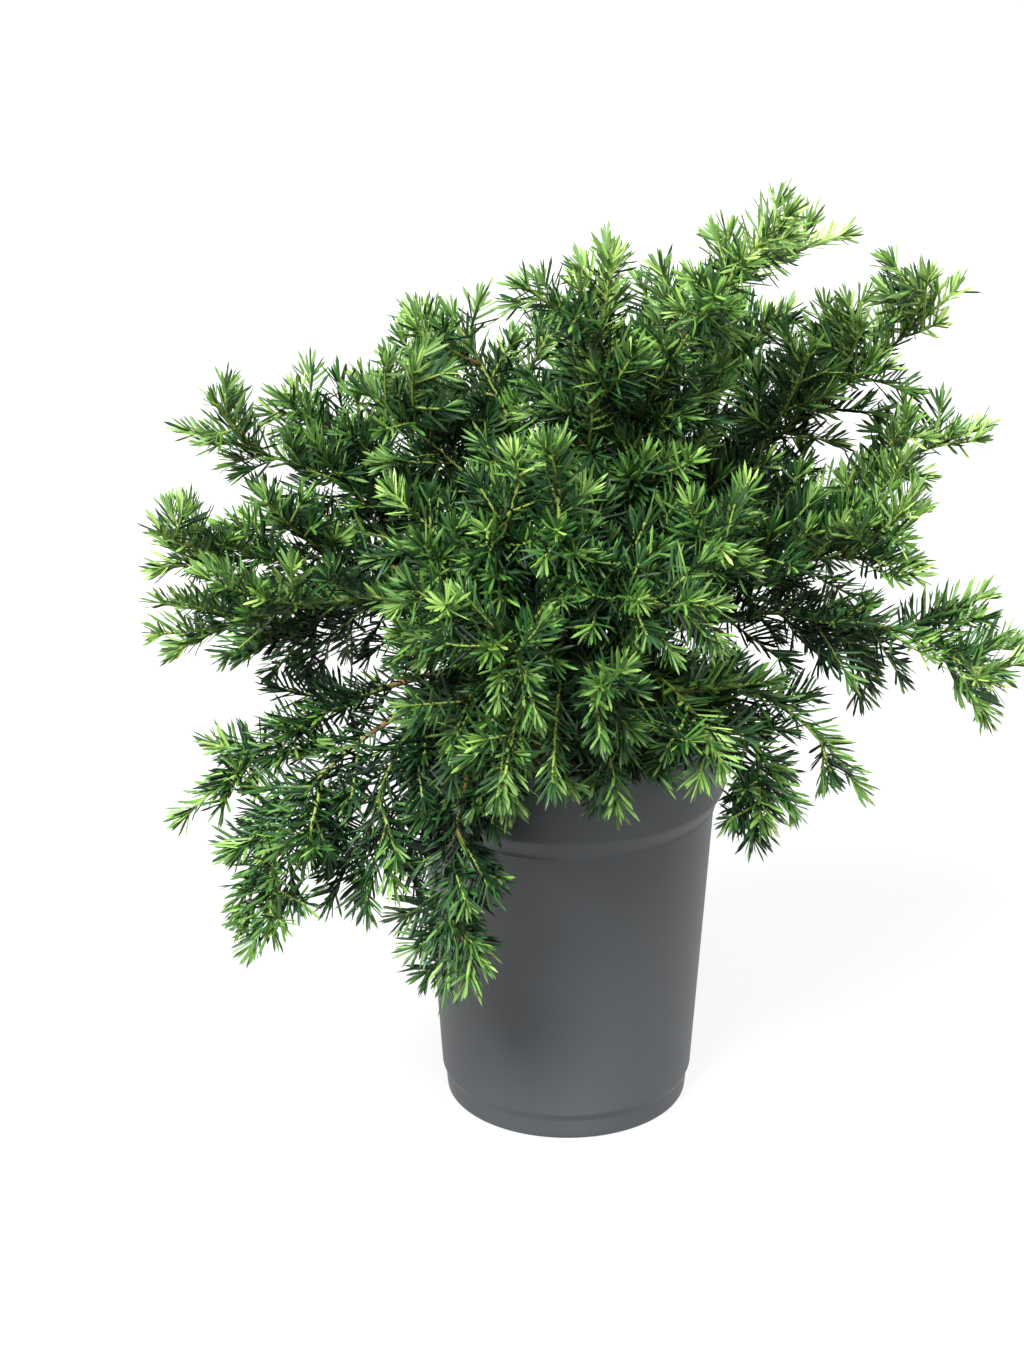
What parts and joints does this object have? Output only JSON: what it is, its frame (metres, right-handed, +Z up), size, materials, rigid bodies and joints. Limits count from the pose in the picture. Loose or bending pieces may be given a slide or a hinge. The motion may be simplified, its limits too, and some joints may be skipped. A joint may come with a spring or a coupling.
{
  "type": "potted english yew",
  "caption": "Young English yew with spreading and hanging sprays of needles, in a round tapered nursery pot with a wide rim collar.",
  "frame": {"origin": "centre of the pot's flat underside", "axes": "+Z up along the pot's axis, +X to the plant's right as the picture shows it, +Y to its back"},
  "size_m": [0.4785, 0.4065, 0.5411],
  "materials": {
    "pot_plastic": "matt anthracite moulded plastic",
    "growing_medium": "loose bark and coir chips, orange brown to dark",
    "bark": "thin flaking red-brown bark",
    "needles": "glossy dark green needles, yellow-green beneath and at the tips"
  },
  "bodies": {
    "root": {"bough_back_right_upper": "bark", "bough_front_left_hanging": "bark", "bough_front_middle": "bark", "bough_left_front_hanging": "bark", "bough_left_hanging": "bark", "bough_left_lower": "bark", "bough_left_middle": "bark", "bough_left_upper": "bark", "bough_right_front_hanging": "bark", "bough_right_lower": "bark", "bough_right_top": "bark", "bough_right_upper": "bark", "bough_top_right": "bark", "foliage_back_left_lower": "needles", "foliage_back_left_upper": "needles", "foliage_back_lower": "needles", "foliage_back_middle": "needles", "foliage_back_right_lower": "needles", "foliage_back_right_upper": "needles", "foliage_back_top": "needles", "foliage_centre_far_left": "needles", "foliage_centre_far_right": "needles", "foliage_centre_front": "needles", "foliage_centre_left": "needles", "foliage_centre_low_left": "needles", "foliage_centre_low_right": "needles", "foliage_centre_right": "needles", "foliage_centre_top": "needles", "foliage_front_far_right": "needles", "foliage_front_left": "needles", "foliage_front_left_hanging": "needles", "foliage_front_low": "needles", "foliage_front_middle": "needles", "foliage_front_middle_right": "needles", "foliage_front_right": "needles", "foliage_left_front_hanging": "needles", "foliage_left_hanging": "needles", "foliage_left_inner_hanging": "needles", "foliage_left_lower": "needles", "foliage_left_middle": "needles", "foliage_left_middle_upper": "needles", "foliage_left_rise": "needles", "foliage_left_shoulder": "needles", "foliage_left_upper": "needles", "foliage_right_front_hanging": "needles", "foliage_right_hanging": "needles", "foliage_right_low_hanging": "needles", "foliage_right_lower": "needles", "foliage_right_middle": "needles", "foliage_right_middle_low": "needles", "foliage_right_rise": "needles", "foliage_right_top": "needles", "foliage_right_upper": "needles", "foliage_top_left": "needles", "foliage_top_middle": "needles", "foliage_top_peak": "needles", "foliage_top_right": "needles", "growing_medium": "growing_medium", "pot": "pot_plastic", "trunk": "bark"}
  },
  "joints": []
}
